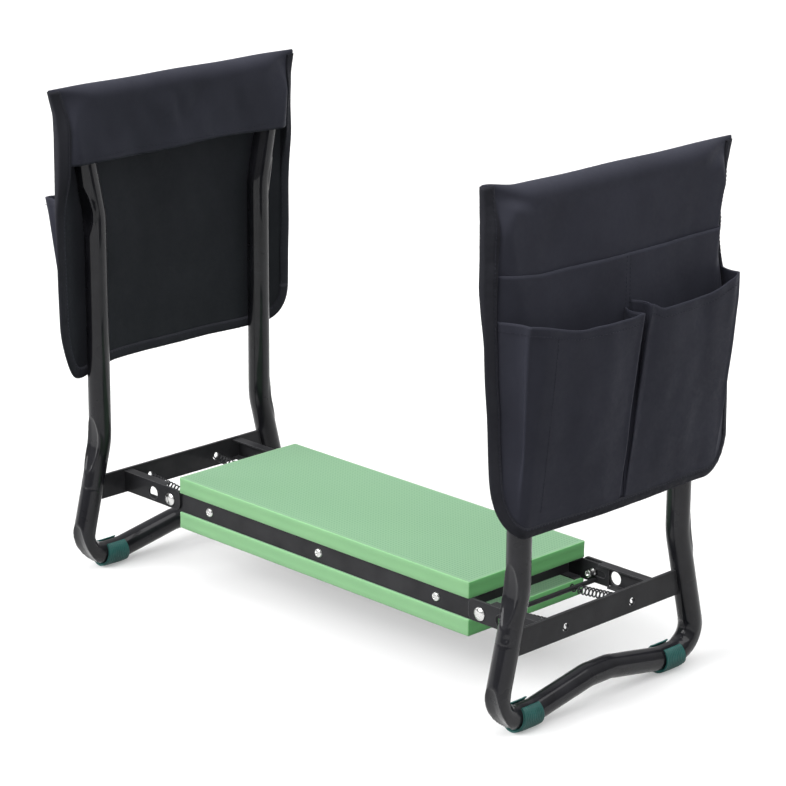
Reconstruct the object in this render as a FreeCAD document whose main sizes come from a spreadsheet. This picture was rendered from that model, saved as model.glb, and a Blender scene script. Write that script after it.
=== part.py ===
"""Garden kneeler seat: a padded kneeling board hung between two folding leg frames with tool pouches.

X runs along the board, Y across it (front is -Y) and Z is up. The origin is on the floor under the
middle of the board. Side +1 is the right leg frame, side -1 the left; end -1 is front, +1 is rear.
"""

import FreeCAD, Part
import math
import os

from FreeCAD import Placement, Rotation, Vector

DIMENSIONS = {
    # board and pads
    "pad_length": 391.0,
    "pad_width": 154.0,
    "pad_thick": 16.0,
    "pad_corner": 5.0,
    "board_length": 352.0,
    "board_thick": 16.2,
    "end_bar_thick": 3.0,
    # side rails of the seat
    "rail_length": 456.0,
    "rail_spread": 149.0,
    "rail_deep": 19.5,
    "rail_wall": 1.5,
    "flange_length": 388.0,
    "flange_width": 10.0,
    "screw_spacing": 153.0,
    "screw_radius": 2.0,
    "screw_reach": 14.0,
    "screw_head_radius": 4.5,
    "screw_head_height": 2.4,
    # pivots between rails and legs
    "pivot_reach": 209.0,
    "pivot_level": 80.75,
    "slot_travel": 12.0,
    "rivet_radius": 3.0,
    "rivet_gap": 0.05,
    "rivet_head_radius": 6.25,
    "rivet_head_height": 2.6,
    "rivet_tail_radius": 3.6,
    "rivet_tail_height": 7.5,
    "rod_reach": 211.0,
    "rod_level": 73.3,
    "rod_radius": 2.25,
    # leg frames
    "leg_reach": 280.0,
    "tube_radius": 11.0,
    "tube_wall": 1.2,
    "waist_half": 105.0,
    "low_flare": 14.0,
    "high_flare": 11.5,
    "low_kink_level": 132.0,
    "high_kink_level": 358.0,
    "handle_level": 473.0,
    "corner_radius": 30.0,
    "foot_corner_radius": 25.0,
    "kink_radius": 80.0,
    "joint_level": 84.0,
    "spigot_length": 18.0,
    "spigot_wall": 0.8,
    "foot_level": 13.4,
    "arch_level": 26.0,
    "arch_start": 84.0,
    "arch_end": 14.0,
    # crossbar and arms
    "crossbar_thick": 2.5,
    "crossbar_deep": 24.5,
    "crossbar_level": 82.2,
    "spring_hole_radius": 4.0,
    "spring_hole_half": 44.0,
    "spring_hole_level": 80.0,
    "arm_wall": 2.0,
    "arm_gap": 0.4,
    "arm_tail": 14.0,
    "arm_below": 8.5,
    "arm_above": 11.95,
    "arm_corner": 6.0,
    "lip_width": 8.0,
    "lip_wall": 1.5,
    "top_lip_start": 11.0,
    "bottom_lip_start": 22.5,
    "arm_hole_radius": 6.5,
    "arm_hole_reach": 25.5,
    # springs
    "coil_radius": 3.7,
    "wire_radius": 0.75,
    "coil_start": 11.0,
    "coil_length": 46.0,
    "coil_turns": 9.0,
    # feet
    "clip_wall": 3.0,
    "clip_gap": 0.05,
    "clip_inner": 79.0,
    "clip_outer": 112.0,
    "clip_opening": 100.0,
    "sole_top": 4.5,
    # tool pouches
    "cloth": 1.6,
    "pouch_half": 150.0,
    "pouch_top": 487.0,
    "pouch_bottom": 183.0,
    "pouch_corner": 34.0,
    "pouch_gap": 0.6,
    "flap_depth": 75.0,
    "slim_pocket_top": 413.0,
    "slim_pocket_half": 138.0,
    "slim_pocket_corner": 26.0,
    "bellows_top": 371.0,
    "bellows_bottom": 192.2,
    "bellows_half": 133.0,
    "bellows_gap": 11.0,
    "bellows_mouth": 31.0,
    "bellows_toe": 5.0,
    "binding_width": 9.0,
}

SIDES = {"left": -1, "right": 1}
ENDS = {"front": -1, "rear": 1}
SPRING_STEPS = 14

doc = FreeCAD.newDocument("garden_kneeler")
nodes = []


def make_sheet():
    """The driving dimensions, one row each: the name in column A, the value in column B."""
    sheet = doc.addObject("Spreadsheet::Sheet", "Dims")
    for row, (name, value) in enumerate(DIMENSIONS.items(), start=1):
        sheet.set(f"A{row}", name)
        sheet.set(f"B{row}", str(value))
        sheet.setAlias(f"B{row}", name)
    doc.recompute()
    return sheet


dims = make_sheet()


def size(name):
    """A driving dimension read back from the sheet."""
    return float(dims.get(name))


def cell(text):
    """Turns words in an expression that are dimension names into sheet references."""
    words = sorted(DIMENSIONS, key=len, reverse=True)
    for number, word in enumerate(words):
        text = text.replace(word, f"@{number}@")
    for number, word in enumerate(words):
        text = text.replace(f"@{number}@", f"Dims.{word}")
    return text


def keep(thing, label):
    """Registers a finished sub-part under the name of its file."""
    thing.Label = label
    nodes.append(thing)
    return thing


def box(name, lengths, centre):
    """A box whose three lengths and centre are expressions."""
    thing = doc.addObject("Part::Box", name)
    for key, axis, length, middle in zip(("Length", "Width", "Height"), "xyz", lengths, centre):
        thing.setExpression(key, cell(length))
        thing.setExpression(f"Placement.Base.{axis}", cell(f"{middle} - ({length}) / 2"))
    return thing


def cylinder(name, radius, height, start, axis):
    """A cylinder along +x, -x, +y, -y or +z from its start point."""
    turns = {
        "+x": Rotation(Vector(0, 1, 0), 90),
        "-x": Rotation(Vector(0, 1, 0), -90),
        "+y": Rotation(Vector(1, 0, 0), -90),
        "-y": Rotation(Vector(1, 0, 0), 90),
        "+z": Rotation(),
    }
    thing = doc.addObject("Part::Cylinder", name)
    thing.Placement = Placement(Vector(), turns[axis])
    thing.setExpression("Radius", cell(radius))
    thing.setExpression("Height", cell(height))
    for letter, value in zip("xyz", start):
        thing.setExpression(f"Placement.Base.{letter}", cell(value))
    return thing


def dome(name, wide, narrow, height, start, axis):
    """A short cone on the same axes as cylinder(), for rounded heads."""
    turns = {"+y": Rotation(Vector(1, 0, 0), -90), "-y": Rotation(Vector(1, 0, 0), 90)}
    thing = doc.addObject("Part::Cone", name)
    thing.Placement = Placement(Vector(), turns[axis])
    thing.setExpression("Radius1", cell(wide))
    thing.setExpression("Radius2", cell(narrow))
    thing.setExpression("Height", cell(height))
    for letter, value in zip("xyz", start):
        thing.setExpression(f"Placement.Base.{letter}", cell(value))
    return thing


def wedge(name, sizes, foot, side):
    """A bag shape that deepens upward: depth at the foot, depth at the top, width, height.

    Its flat back stands on the plane x = side * foot x, centred on foot y, and it grows outward.
    """
    low, high, width, height = sizes
    thing = doc.addObject("Part::Wedge", name)
    upright = Rotation(Vector(1, 0, 0), 90)
    thing.Placement = Placement(Vector(), Rotation(Vector(0, 0, 1), 0 if side > 0 else 180) * upright)
    values = {
        "Xmin": "0", "Xmax": low, "X2min": "0", "X2max": high,
        "Zmin": f"-({width}) / 2", "Zmax": f"({width}) / 2",
        "Z2min": f"-({width}) / 2", "Z2max": f"({width}) / 2",
        "Ymin": "0", "Ymax": height,
    }
    for key, value in values.items():
        thing.setExpression(key, cell(value))
    places = {"x": f"{side} * ({foot[0]})", "y": foot[1], "z": foot[2]}
    for letter, value in places.items():
        thing.setExpression(f"Placement.Base.{letter}", cell(value))
    return thing


def fuse(name, shapes):
    thing = doc.addObject("Part::MultiFuse", name)
    thing.Shapes = shapes
    thing.Refine = True
    return thing


def cut(name, base, tools):
    thing = doc.addObject("Part::Cut", name)
    thing.Base = base
    thing.Tool = tools[0] if len(tools) == 1 else fuse(f"{name}_tools", tools)
    thing.Refine = True
    return thing


def group(name, shapes):
    """Separate identical solids that share one node."""
    thing = doc.addObject("Part::Compound", name)
    thing.Links = shapes
    return thing


def feature(name, shape):
    thing = doc.addObject("Part::Feature", name)
    thing.Shape = shape
    return thing


def rounded(name, base, radius_name, wanted):
    """Rounds the edges of base that wanted(edge) picks."""
    doc.recompute()
    radius = size(radius_name)
    thing = doc.addObject("Part::Fillet", name)
    thing.Base = base
    edges = enumerate(base.Shape.Edges, start=1)
    thing.Edges = [(number, radius, radius) for number, edge in edges if wanted(edge)]
    return thing


def runs_along(edge, axis):
    """True for a straight edge parallel to the axis."""
    if len(edge.Vertexes) != 2:
        return False
    span = edge.Vertexes[1].Point - edge.Vertexes[0].Point
    return abs(abs(span.normalize().dot(axis)) - 1) < 1e-6


# ---------------------------------------------------------------- seat


def make_pad(label, level):
    """A foam pad with rounded upright corners, glued to one face of the board."""
    block = box(f"{label}_block", ("pad_length", "pad_width", "pad_thick"), ("0", "0", level))
    pad = rounded(f"{label}_pad", block, "pad_corner", lambda edge: runs_along(edge, Vector(0, 0, 1)))
    keep(pad, label)


def make_rail(label, end):
    """A channel with inward flanges; its bare web carries a slot for the pivot at each end."""
    web_y = f"{end} * (rail_spread - rail_wall) / 2"
    flange_y = f"{end} * (rail_spread - flange_width) / 2"
    web = box(f"{label}_web", ("rail_length", "rail_wall", "rail_deep"), ("0", web_y, "pivot_level"))
    flanges = []
    for name, sign in (("low", -1), ("high", 1)):
        level = f"pivot_level + {sign} * (rail_deep - rail_wall) / 2"
        sizes = ("flange_length", "flange_width", "rail_wall")
        flanges.append(box(f"{label}_{name}_flange", sizes, ("0", flange_y, level)))
    tools = []
    start_y = f"{end} * rail_spread / 2 - 2 * rail_wall"
    for name, side in SIDES.items():
        wide = "2 * (rivet_radius + rivet_gap)"
        middle = (f"{side} * (pivot_reach + slot_travel / 2)", web_y, "pivot_level")
        tools.append(box(f"{label}_{name}_slot", ("slot_travel", "4 * rail_wall", wide), middle))
        for number, reach in enumerate(("pivot_reach", "pivot_reach + slot_travel")):
            start = (f"{side} * ({reach})", start_y, "pivot_level")
            name_here = f"{label}_{name}_slot_end_{number}"
            tools.append(cylinder(name_here, "rivet_radius + rivet_gap", "4 * rail_wall", start, "+y"))
    for number in (-1, 0, 1):
        start = (f"{number} * screw_spacing", start_y, "pivot_level")
        hole = cylinder(f"{label}_screw_hole_{number + 1}", "screw_radius", "4 * rail_wall", start, "+y")
        tools.append(hole)
    body = fuse(f"{label}_channel", [web] + flanges)
    keep(cut(f"{label}_rail", body, tools), label)


def make_rail_screws(label, end):
    """Three pan-head screws through the rail into the edge of the board."""
    outward = "+y" if end > 0 else "-y"
    inward = "-y" if end > 0 else "+y"
    screws = []
    for number in (-1, 0, 1):
        start = (f"{number} * screw_spacing", f"{end} * rail_spread / 2", "pivot_level")
        name = f"{label}_{number + 1}"
        shank = cylinder(f"{name}_shank", "screw_radius", "screw_reach", start, inward)
        radii = ("screw_head_radius", "0.55 * screw_head_radius")
        head = dome(f"{name}_head", *radii, "screw_head_height", start, outward)
        screws.append(fuse(f"{name}_screw", [shank, head]))
    keep(group(f"{label}_set", screws), label)


def make_board():
    """The stiff board inside the rails, drilled along both edges for the rail screws."""
    width = "rail_spread - 2 * rail_wall"
    slab = box("board_slab", ("board_length", width, "board_thick"), ("0", "0", "pivot_level"))
    holes = []
    for end_name, end in ENDS.items():
        for number in (-1, 0, 1):
            start = (f"{number} * screw_spacing", f"{end} * rail_spread / 2", "pivot_level")
            inward = "-y" if end > 0 else "+y"
            name = f"board_{end_name}_hole_{number + 1}"
            holes.append(cylinder(name, "screw_radius", "screw_reach + 1", start, inward))
    keep(cut("board_drilled", slab, holes), "seat_board")


def make_seat():
    half = "(rail_deep + pad_thick) / 2"
    make_pad("upper_pad", f"pivot_level + {half}")
    make_pad("lower_pad", f"pivot_level - {half}")
    make_board()
    for name, end in ENDS.items():
        make_rail(f"{name}_rail", end)
        make_rail_screws(f"{name}_rail_screws", end)
    for name, side in SIDES.items():
        width = "rail_spread - 2 * rail_wall"
        middle = (f"{side} * (board_length + end_bar_thick) / 2", "0", "pivot_level")
        end_bar = box(f"{name}_end_plate", ("end_bar_thick", width, "board_thick"), middle)
        keep(end_bar, f"{name}_end_bar")
        start = (f"{side} * rod_reach", "rail_wall - rail_spread / 2", "rod_level")
        rod = cylinder(f"{name}_rod", "rod_radius", "rail_spread - 2 * rail_wall", start, "+y")
        keep(rod, f"{name}_anchor_rod")


# ---------------------------------------------------------------- pivots and springs


def make_pivot_rivets(label, side):
    """Front and rear rivets: each turns in its arm and slides in its rail's slot."""
    rivets = []
    for name, end in ENDS.items():
        outward = "+y" if end > 0 else "-y"
        inward = "-y" if end > 0 else "+y"
        arm_face = "rail_spread / 2 + arm_gap + arm_wall"
        tail_face = "rail_spread / 2 - rail_wall - rivet_gap"
        head_start = (f"{side} * pivot_reach", f"{end} * ({arm_face} + rivet_gap)", "pivot_level")
        tail_start = (f"{side} * pivot_reach", f"{end} * ({tail_face})", "pivot_level")
        shank_length = "arm_gap + arm_wall + rail_wall + 2 * rivet_gap"
        radii = ("rivet_head_radius", "0.5 * rivet_head_radius")
        head = dome(f"{label}_{name}_head", *radii, "rivet_head_height", head_start, outward)
        shank = cylinder(f"{label}_{name}_shank", "rivet_radius", shank_length, head_start, inward)
        tail_sizes = ("rivet_tail_radius", "rivet_tail_height")
        tail = cylinder(f"{label}_{name}_tail", *tail_sizes, tail_start, inward)
        rivets.append(fuse(f"{label}_{name}_rivet", [head, shank, tail]))
    keep(group(f"{label}_set", rivets), label)


def spring_line(side, end):
    """Centreline of a spring: a hook round the anchor rod, the coil, a hook through the crossbar."""
    start = Vector(side * size("rod_reach"), end * size("spring_hole_half"), size("rod_level"))
    finish = Vector(side * size("leg_reach"), end * size("spring_hole_half"), size("spring_hole_level"))
    along = (finish - start).normalize()
    up = Vector(0, 1, 0).cross(along) * side
    across = Vector(0, 1, 0)
    radius = size("coil_radius")
    turns = int(size("coil_turns"))
    near_eye = size("rod_radius") + size("wire_radius") + 0.3
    far_eye = 0.5 * size("crossbar_thick") + size("wire_radius") + 0.6

    def eye(centre, reach, first, last, steps=9):
        angles = [math.radians(first + (last - first) * step / steps) for step in range(steps + 1)]
        return [centre + along * (reach * math.cos(angle)) + up * (reach * math.sin(angle)) for angle in angles]

    line = eye(start, near_eye, -80, -330)
    for step in range(turns * SPRING_STEPS + 1):
        angle = 2 * math.pi * step / SPRING_STEPS
        reach = size("coil_start") + size("coil_length") * step / (turns * SPRING_STEPS)
        line.append(start + along * reach + up * (radius * math.sin(angle)) + across * (radius * math.cos(angle)))
    return line + eye(finish, far_eye, 150, -60)


def make_spring(label, side, end):
    """One extension spring, swept as straight runs with mitred corners."""
    line = spring_line(side, end)
    path = Part.Wire(Part.makePolygon(line))
    start, following = line[0], line[1]
    ring = Part.Wire(Part.makeCircle(size("wire_radius"), start, following - start))
    shell = Part.BRepOffsetAPI.MakePipeShell(path)
    shell.setTransitionMode(1)
    shell.add(ring)
    shell.build()
    shell.makeSolid()
    keep(feature(f"{label}_wire", shell.shape()), label)


# ---------------------------------------------------------------- leg frames


def bent_line(points, radii):
    """A wire through points, each inner corner rounded by its radius with a tangent arc."""
    edges = []
    here = points[0]
    for before, corner, after, radius in zip(points, points[1:], points[2:], radii):
        into = (corner - before).normalize()
        out = (after - corner).normalize()
        half_turn = into.getAngle(out) / 2
        setback = radius * math.tan(half_turn)
        first = corner - into * setback
        last = corner + out * setback
        inward = (out - into).normalize()
        centre = corner + inward * (radius / math.cos(half_turn))
        middle = centre - inward * radius
        edges.append(Part.LineSegment(here, first).toShape())
        edges.append(Part.Arc(first, middle, last).toShape())
        here = last
    edges.append(Part.LineSegment(here, points[-1]).toShape())
    return Part.Wire(edges)


def upright_y(level):
    """Half the distance between the uprights' centrelines at a height."""
    below = max(0.0, size("low_kink_level") - level)
    above = max(0.0, level - size("high_kink_level"))
    low, high = (math.tan(math.radians(size(name))) for name in ("low_flare", "high_flare"))
    return size("waist_half") + low * below + high * above


def handle_line(side):
    """From the front joint up, over the top and down to the rear joint."""
    levels = [size(name) for name in ("joint_level", "low_kink_level", "high_kink_level", "handle_level")]
    reach = side * size("leg_reach")
    front = [Vector(reach, -upright_y(level), level) for level in levels]
    rear = [Vector(reach, upright_y(level), level) for level in reversed(levels)]
    kink, corner = size("kink_radius"), size("corner_radius")
    return bent_line(front + rear, [kink, kink, corner, corner, kink, kink])


def foot_line(side):
    """From the front joint down, along the arched foot bar and up to the rear joint."""
    reach = side * size("leg_reach")
    outline = [
        (upright_y(size("joint_level")), size("joint_level")),
        (upright_y(size("foot_level")), size("foot_level")),
        (size("arch_start"), size("foot_level")),
        (size("arch_end"), size("arch_level")),
    ]
    front = [Vector(reach, -half, level) for half, level in outline]
    rear = [Vector(reach, half, level) for half, level in reversed(outline)]
    corner, kink = size("foot_corner_radius"), 0.5 * size("kink_radius")
    return bent_line(front + rear, [corner, kink, kink, kink, kink, corner])


def sweep_tube(name, line, radius):
    """A solid round bar swept along the line, its radius bound to the sheet."""
    spine = feature(f"{name}_spine", line)
    edge = line.OrderedEdges[0]
    start = edge.valueAt(edge.FirstParameter)
    along = edge.tangentAt(edge.FirstParameter)
    ring = doc.addObject("Part::Circle", f"{name}_ring")
    ring.Placement = Placement(start, Rotation(Vector(0, 0, 1), along))
    ring.setExpression("Radius", cell(radius))
    bar = doc.addObject("Part::Sweep", f"{name}_sweep")
    bar.Sections = [ring]
    bar.Spine = (spine, [])
    bar.Solid = True
    bar.Frenet = False
    return bar


def make_handle_tube(label, side):
    outer = sweep_tube(f"{label}_outer", handle_line(side), "tube_radius")
    inner = sweep_tube(f"{label}_inner", handle_line(side), "tube_radius - tube_wall")
    keep(cut(f"{label}_pipe", outer, [inner]), label)
    return outer


def make_foot_tube(label, side):
    """The lower frame; a spigot at each end plugs into the handle tube."""
    outer = sweep_tube(f"{label}_outer", foot_line(side), "tube_radius")
    inner = sweep_tube(f"{label}_inner", foot_line(side), "tube_radius - tube_wall - spigot_wall")
    slant = size("low_flare")
    spigots = []
    for name, end in ENDS.items():
        spigot = doc.addObject("Part::Cylinder", f"{label}_{name}_spigot")
        spigot.setExpression("Radius", cell("tube_radius - tube_wall - rivet_gap"))
        spigot.setExpression("Height", cell("spigot_length + 6"))
        up = Vector(0, -end * math.sin(math.radians(slant)), math.cos(math.radians(slant)))
        joint = Vector(side * size("leg_reach"), end * upright_y(size("joint_level")), size("joint_level"))
        spigot.Placement = Placement(joint - up * 6, Rotation(Vector(0, 0, 1), up))
        spigots.append(spigot)
    whole = fuse(f"{label}_bar", [outer] + spigots)
    bores = [inner]
    for name, end in ENDS.items():
        bore = doc.addObject("Part::Cylinder", f"{label}_{name}_bore")
        bore.setExpression("Radius", cell("tube_radius - tube_wall - spigot_wall"))
        bore.setExpression("Height", cell("spigot_length + 7"))
        bore.Placement = spigots[0 if end < 0 else 1].Placement
        bores.append(bore)
    keep(cut(f"{label}_pipe", whole, bores), label)
    return outer


def make_crossbar(label, side, tubes):
    """A flat bar between the uprights, cut to their curve, with a hole for each spring."""
    lengths = ("crossbar_thick", "2 * waist_half + 40", "crossbar_deep")
    bar = box(f"{label}_flat", lengths, (f"{side} * leg_reach", "0", "crossbar_level"))
    tools = list(tubes)
    for name, end in ENDS.items():
        start_x = f"{side} * leg_reach - 2 * crossbar_thick"
        start = (start_x, f"{end} * spring_hole_half", "spring_hole_level")
        hole = cylinder(f"{label}_{name}_hole", "spring_hole_radius", "4 * crossbar_thick", start, "+x")
        tools.append(hole)
    trimmed = cut(f"{label}_trimmed", bar, tools)
    doc.recompute()
    middle = min(trimmed.Shape.Solids, key=lambda solid: solid.CenterOfMass.y ** 2)
    trimmed.Label = f"{label}_with_ends"
    keep(feature(f"{label}_bar", middle), label)


def make_arm(label, side, end):
    """A pressed arm from the crossbar to the rivet, with an inward lip above and below its outer half."""
    arm_end = "leg_reach - crossbar_thick / 2"
    arm_start = "pivot_reach - arm_tail"
    face_y = "rail_spread / 2 + arm_gap"
    web_lengths = (f"{arm_end} - ({arm_start})", "arm_wall", "arm_below + arm_above")
    web_middle = (
        f"{side} * ({arm_end} + {arm_start}) / 2",
        f"{end} * ({face_y} + arm_wall / 2)",
        "pivot_level + (arm_above - arm_below) / 2",
    )
    web = box(f"{label}_web", web_lengths, web_middle)
    free_end = side * (size("pivot_reach") - size("arm_tail"))

    def at_free_end(edge):
        return runs_along(edge, Vector(0, 1, 0)) and abs(edge.Vertexes[0].X - free_end) < 0.01

    web = rounded(f"{label}_blade", web, "arm_corner", at_free_end)
    pieces = [web]
    for name, start, level in (
        ("top", "top_lip_start", "pivot_level + arm_above - lip_wall / 2"),
        ("bottom", "bottom_lip_start", "pivot_level - arm_below + lip_wall / 2"),
    ):
        lip_start = f"pivot_reach + {start}"
        lengths = (f"{arm_end} - ({lip_start})", "lip_width + arm_wall", "lip_wall")
        middle = (
            f"{side} * ({arm_end} + {lip_start}) / 2",
            f"{end} * ({face_y} + (arm_wall - lip_width) / 2)",
            level,
        )
        pieces.append(box(f"{label}_{name}_lip", lengths, middle))
    pressed = fuse(f"{label}_pressing", pieces)
    start_y = f"{end} * ({face_y}) - 2 * arm_wall"
    rivet_start = (f"{side} * pivot_reach", start_y, "pivot_level")
    round_start = (f"{side} * (pivot_reach + arm_hole_reach)", start_y, "pivot_level")
    rivet_hole = cylinder(f"{label}_rivet_hole", "rivet_radius + rivet_gap", "6 * arm_wall", rivet_start, "+y")
    round_hole = cylinder(f"{label}_round_hole", "arm_hole_radius", "6 * arm_wall", round_start, "+y")
    keep(cut(f"{label}_arm", pressed, [rivet_hole, round_hole]), label)


def make_foot(label, side, end):
    """A soft clip round the foot bar near its corner, open on top, with a flat sole that runs on outward."""
    reach = side * size("leg_reach")
    level = size("foot_level")
    rise = (size("arch_level") - level) / (size("arch_start") - size("arch_end"))
    inner_y = size("clip_inner")
    outline = [
        (inner_y, level + rise * (size("arch_start") - inner_y)),
        (size("arch_start"), level),
        (upright_y(level), level),
        (upright_y(size("low_kink_level") / 2), size("low_kink_level") / 2),
    ]
    points = [Vector(reach, end * half, height) for half, height in outline]
    line = bent_line(points, [0.5 * size("kink_radius"), size("foot_corner_radius")])
    inner = size("tube_radius") + size("clip_gap")
    outer = size("tube_radius") + size("clip_wall")
    half = math.radians(size("clip_opening") / 2)
    start = points[0]
    across = Vector(1, 0, 0)
    up = across.cross((points[1] - start).normalize()) * end

    def rim(radius, angle):
        return start + across * (radius * math.sin(angle)) + up * (radius * math.cos(angle))

    def arc(radius, first, last):
        angles = (first, (first + last) / 2, last)
        return Part.Arc(*[rim(radius, angle) for angle in angles]).toShape()

    first, last = half, 2 * math.pi - half
    section = Part.Wire([
        arc(outer, first, last),
        Part.LineSegment(rim(outer, last), rim(inner, last)).toShape(),
        arc(inner, last, first),
        Part.LineSegment(rim(inner, first), rim(outer, first)).toShape(),
    ])
    sleeve = feature(f"{label}_sleeve", line.makePipeShell([section], True, False))
    block = ("4 * tube_radius", "2 * waist_half", "2 * waist_half")
    above_middle = (f"{side} * leg_reach", f"{end} * (clip_outer + waist_half)", "sole_top + waist_half")
    above = box(f"{label}_above", block, above_middle)
    below_middle = (f"{side} * leg_reach", f"{end} * waist_half", "-waist_half")
    below = box(f"{label}_below", block, below_middle)
    keep(cut(f"{label}_clip", sleeve, [above, below]), label)


# ---------------------------------------------------------------- pouches


def make_pouch(name, side):
    """A tool pouch pulled over the handle: panel, sleeve flap, slim pocket, bellows pockets and binding."""
    panel_x = "leg_reach + tube_radius + pouch_gap"
    height = "pouch_top - pouch_bottom"
    sheet_lengths = ("cloth", "2 * pouch_half", height)
    sheet_middle = (f"{side} * ({panel_x} + cloth / 2)", "0", "(pouch_top + pouch_bottom) / 2")
    sheet = box(f"{name}_sheet", sheet_lengths, sheet_middle)

    def at_level(bottom):
        """Picks the two low corners of a sheet whose lower edge is at that dimension."""
        return lambda edge: runs_along(edge, Vector(1, 0, 0)) and abs(edge.Vertexes[0].Z - size(bottom)) < 0.01

    keep(rounded(f"{name}_panel", sheet, "pouch_corner", at_level("pouch_bottom")), f"{name}_pouch_panel")

    flap_x = "leg_reach - tube_radius - pouch_gap"
    flap_middle = (f"{side} * ({flap_x} - cloth / 2)", "0", "pouch_top - flap_depth / 2")
    flap = box(f"{name}_flap_sheet", ("cloth", "2 * pouch_half", "flap_depth"), flap_middle)
    top_lengths = (f"{panel_x} - ({flap_x})", "2 * pouch_half", "cloth")
    top = box(f"{name}_flap_top", top_lengths, (f"{side} * leg_reach", "0", "pouch_top - cloth / 2"))
    keep(fuse(f"{name}_flap", [flap, top]), f"{name}_pouch_flap")

    slim_x = f"{panel_x} + cloth"
    slim_lengths = ("cloth", "2 * slim_pocket_half", "slim_pocket_top - bellows_bottom")
    slim_middle = (f"{side} * ({slim_x} + cloth / 2)", "0", "(slim_pocket_top + bellows_bottom) / 2")
    slim = box(f"{name}_slim_sheet", slim_lengths, slim_middle)
    slim = rounded(f"{name}_slim", slim, "slim_pocket_corner", at_level("bellows_bottom"))
    keep(slim, f"{name}_slim_pocket")

    back_x = f"{slim_x} + cloth"
    deep = "bellows_top - bellows_bottom"
    wide = "bellows_half - bellows_gap / 2"
    for end_name, end in ENDS.items():
        label = f"{name}_{end_name}_pocket"
        bag_y = f"{end} * (bellows_half + bellows_gap / 2) / 2"
        outer_sizes = ("bellows_toe", "bellows_mouth", wide, deep)
        outer = wedge(f"{label}_outer", outer_sizes, (back_x, bag_y, "bellows_bottom"), side)
        hollow_sizes = ("bellows_toe - cloth", "bellows_mouth - cloth", f"{wide} - 2 * cloth", deep)
        hollow = wedge(f"{label}_hollow", hollow_sizes, (back_x, bag_y, "bellows_bottom + cloth"), side)
        keep(cut(f"{label}_bag", outer, [hollow]), label)


def make_binding(label, side):
    """Woven tape folded over the pouch's side and bottom edges."""
    reach = side * (size("leg_reach") + size("tube_radius") + size("pouch_gap"))
    cloth = size("cloth")
    half = size("pouch_half") - 0.05
    low, high = size("pouch_bottom") + 0.05, size("slim_pocket_top")
    corner = size("pouch_corner")
    tape = size("binding_width")

    def outline(inset):
        points = [
            Vector(0, -half + inset, high),
            Vector(0, -half + inset, low + inset),
            Vector(0, half - inset, low + inset),
            Vector(0, half - inset, high),
        ]
        return bent_line(points, [corner - inset, corner - inset])

    outer, inner = outline(0), outline(tape)
    ends = []
    for index in (0, 1):
        pair = [wire.OrderedVertexes[-index].Point for wire in (outer, inner)]
        ends.append(Part.LineSegment(*pair).toShape())
    face = Part.Face(Part.Wire(Part.__sortEdges__(outer.Edges + inner.Edges + ends)))
    tape_solid = face.extrude(Vector(side * cloth, 0, 0))
    tape_solid.translate(Vector(reach + side * cloth, 0, 0))
    keep(feature(f"{label}_tape", tape_solid), label)


# ---------------------------------------------------------------- assembly


def make_leg(name, side):
    tubes = [make_handle_tube(f"{name}_handle_tube", side), make_foot_tube(f"{name}_foot_tube", side)]
    make_crossbar(f"{name}_crossbar", side, tubes)
    make_pivot_rivets(f"{name}_pivot_rivets", side)
    for end_name, end in ENDS.items():
        make_arm(f"{name}_{end_name}_arm", side, end)
        make_foot(f"{name}_{end_name}_foot", side, end)
        make_spring(f"{name}_{end_name}_spring", side, end)
    make_pouch(name, side)
    make_binding(f"{name}_pouch_binding", side)


def check_document():
    for thing in doc.Objects:
        if "Invalid" in thing.State or "Error" in thing.State:
            raise RuntimeError(f"{thing.Name} failed: {thing.State}")
    for node in nodes:
        if node.Shape.isNull() or not node.Shape.isValid():
            raise RuntimeError(f"{node.Label} has no valid shape")


def write_parts():
    os.makedirs("parts", exist_ok=True)
    for old in os.listdir("parts"):
        os.remove(os.path.join("parts", old))
    for node in nodes:
        node.Shape.exportStep(f"parts/{node.Label}.step")
        print(f"{node.Label:24s} {len(node.Shape.Solids)} solids {node.Shape.Volume:12.1f} mm3")


make_seat()
for side_name, side_sign in SIDES.items():
    make_leg(side_name, side_sign)
doc.recompute()
check_document()
write_parts()
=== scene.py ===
"""Looks of the garden kneeler seat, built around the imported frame. Shapes are worked out in millimetres."""

import math

import bpy
import numpy as np
from mathutils import Matrix, Vector


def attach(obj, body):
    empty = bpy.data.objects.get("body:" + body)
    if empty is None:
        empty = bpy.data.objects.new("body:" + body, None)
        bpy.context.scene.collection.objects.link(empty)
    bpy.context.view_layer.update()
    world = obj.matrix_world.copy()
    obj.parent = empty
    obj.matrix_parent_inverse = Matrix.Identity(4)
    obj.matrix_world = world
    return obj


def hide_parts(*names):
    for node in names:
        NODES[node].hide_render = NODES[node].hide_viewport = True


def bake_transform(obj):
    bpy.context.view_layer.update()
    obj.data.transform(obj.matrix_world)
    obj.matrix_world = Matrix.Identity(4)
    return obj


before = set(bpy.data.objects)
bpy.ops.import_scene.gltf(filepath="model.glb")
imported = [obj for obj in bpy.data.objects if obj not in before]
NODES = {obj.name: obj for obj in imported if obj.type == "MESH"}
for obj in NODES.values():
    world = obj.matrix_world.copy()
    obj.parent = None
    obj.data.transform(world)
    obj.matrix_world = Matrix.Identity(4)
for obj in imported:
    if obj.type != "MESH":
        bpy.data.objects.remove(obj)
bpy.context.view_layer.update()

MM = 0.001
SIDES = {"left": -1, "right": 1}
ENDS = {"front": -1, "rear": 1}

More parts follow.
